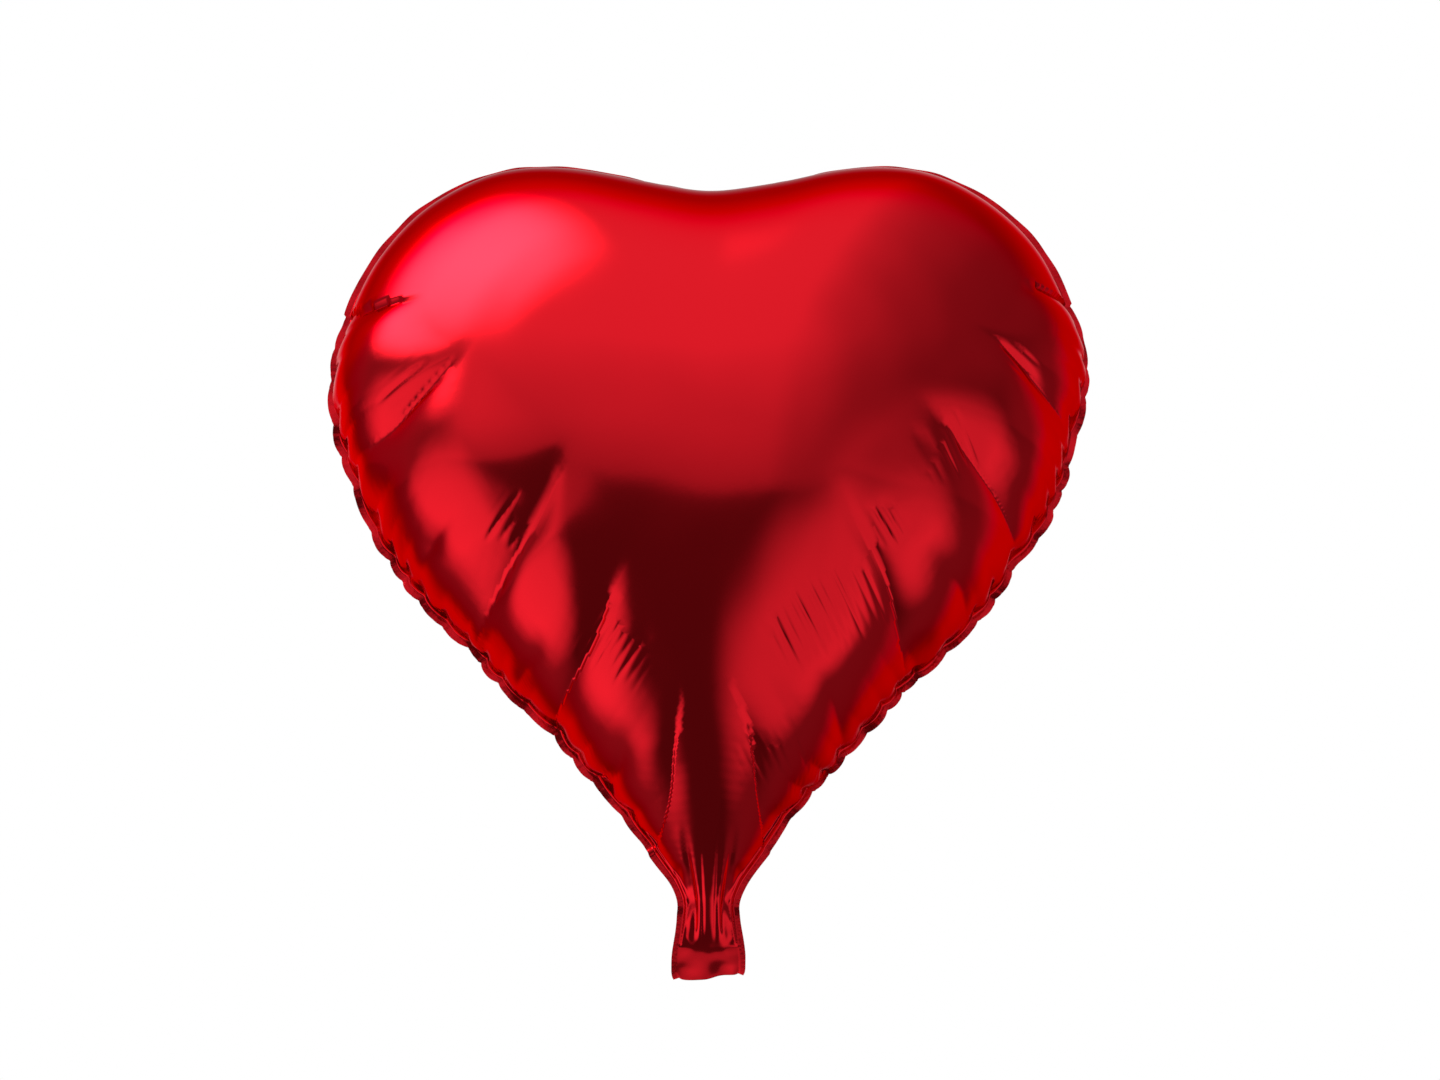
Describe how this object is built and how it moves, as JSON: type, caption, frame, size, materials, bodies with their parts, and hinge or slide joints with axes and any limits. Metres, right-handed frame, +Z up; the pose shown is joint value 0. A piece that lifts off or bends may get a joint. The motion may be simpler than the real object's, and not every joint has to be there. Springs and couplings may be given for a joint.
{
  "type": "heart-shaped foil balloon",
  "caption": "Inflated heart-shaped foil balloon with a welded rim, a narrow neck, a folding tail and an inner film valve.",
  "frame": {"origin": "middle of the neck at its narrowest place, where a ribbon is tied", "axes": "+Z up from the neck to the lobes, front of the heart facing -Y, +X to the right"},
  "size_m": [0.375, 0.1976, 0.4088],
  "materials": {
    "red_foil": "mirror-bright red metallised film with fine creases",
    "clear_film": "thin clear polyethylene film"
  },
  "bodies": {
    "envelope": {"front_panel": "red_foil", "rear_panel": "red_foil", "valve_rear_film": "clear_film"},
    "valve_flap": {"valve_front_film": "clear_film"},
    "tail": {"tail_front_sheet": "red_foil", "tail_rear_sheet": "red_foil", "inlet_front_film": "clear_film", "inlet_rear_film": "clear_film"}
  },
  "joints": [
    {"name": "neck_fold", "type": "hinge", "parent": "envelope", "child": "tail", "pos_m": [0, 0, -0.019], "axis": [1, 0, 0], "range_deg": [-75, 75]},
    {"name": "valve_open", "type": "hinge", "parent": "envelope", "child": "valve_flap", "pos_m": [0, -0.0003, -0.0165], "axis": [1, 0, 0], "range_deg": [0, 8], "stiffness_Nm_per_rad": 0.00005}
  ]
}
